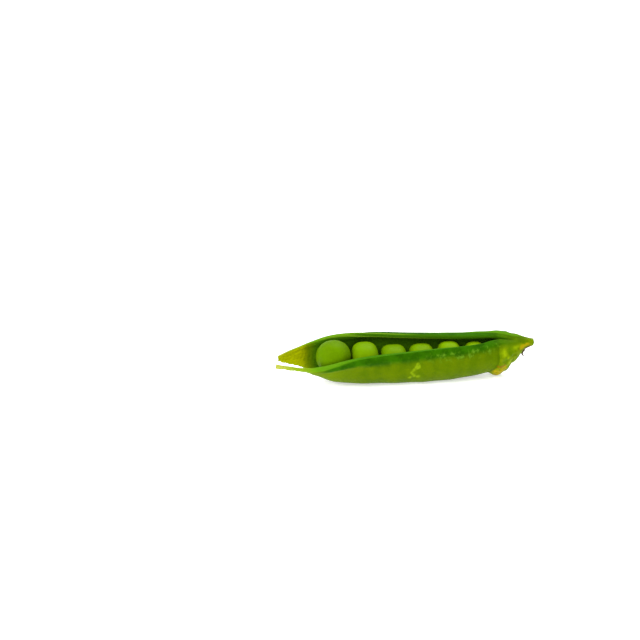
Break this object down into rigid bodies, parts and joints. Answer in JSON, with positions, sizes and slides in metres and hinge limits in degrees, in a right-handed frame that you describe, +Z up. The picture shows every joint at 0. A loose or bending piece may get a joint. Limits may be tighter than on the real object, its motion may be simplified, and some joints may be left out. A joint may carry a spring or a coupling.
{
  "type": "pea pod",
  "caption": "Garden pea pod split open along its upper seam, two curved valves holding a row of round peas, lying on its keel.",
  "frame": {"origin": "on the surface the pod rests on, under the middle of its outline", "axes": "+X along the pod from its torn stem end to its blossom end, +Y from the front valve to the back valve, +Z up"},
  "size_m": [0.0842, 0.0166, 0.0153],
  "materials": {
    "pod_skin": "fresh waxy plant skin, satin, olive green with a darker green band under the rims",
    "pea_skin": "smooth pea skin, soft gloss, bright yellow green"
  },
  "bodies": {
    "root": {"pod_shell": "pod_skin", "pea_1": "pea_skin", "pea_2": "pea_skin", "pea_3": "pea_skin", "pea_4": "pea_skin", "pea_5": "pea_skin", "pea_6": "pea_skin"}
  },
  "joints": []
}
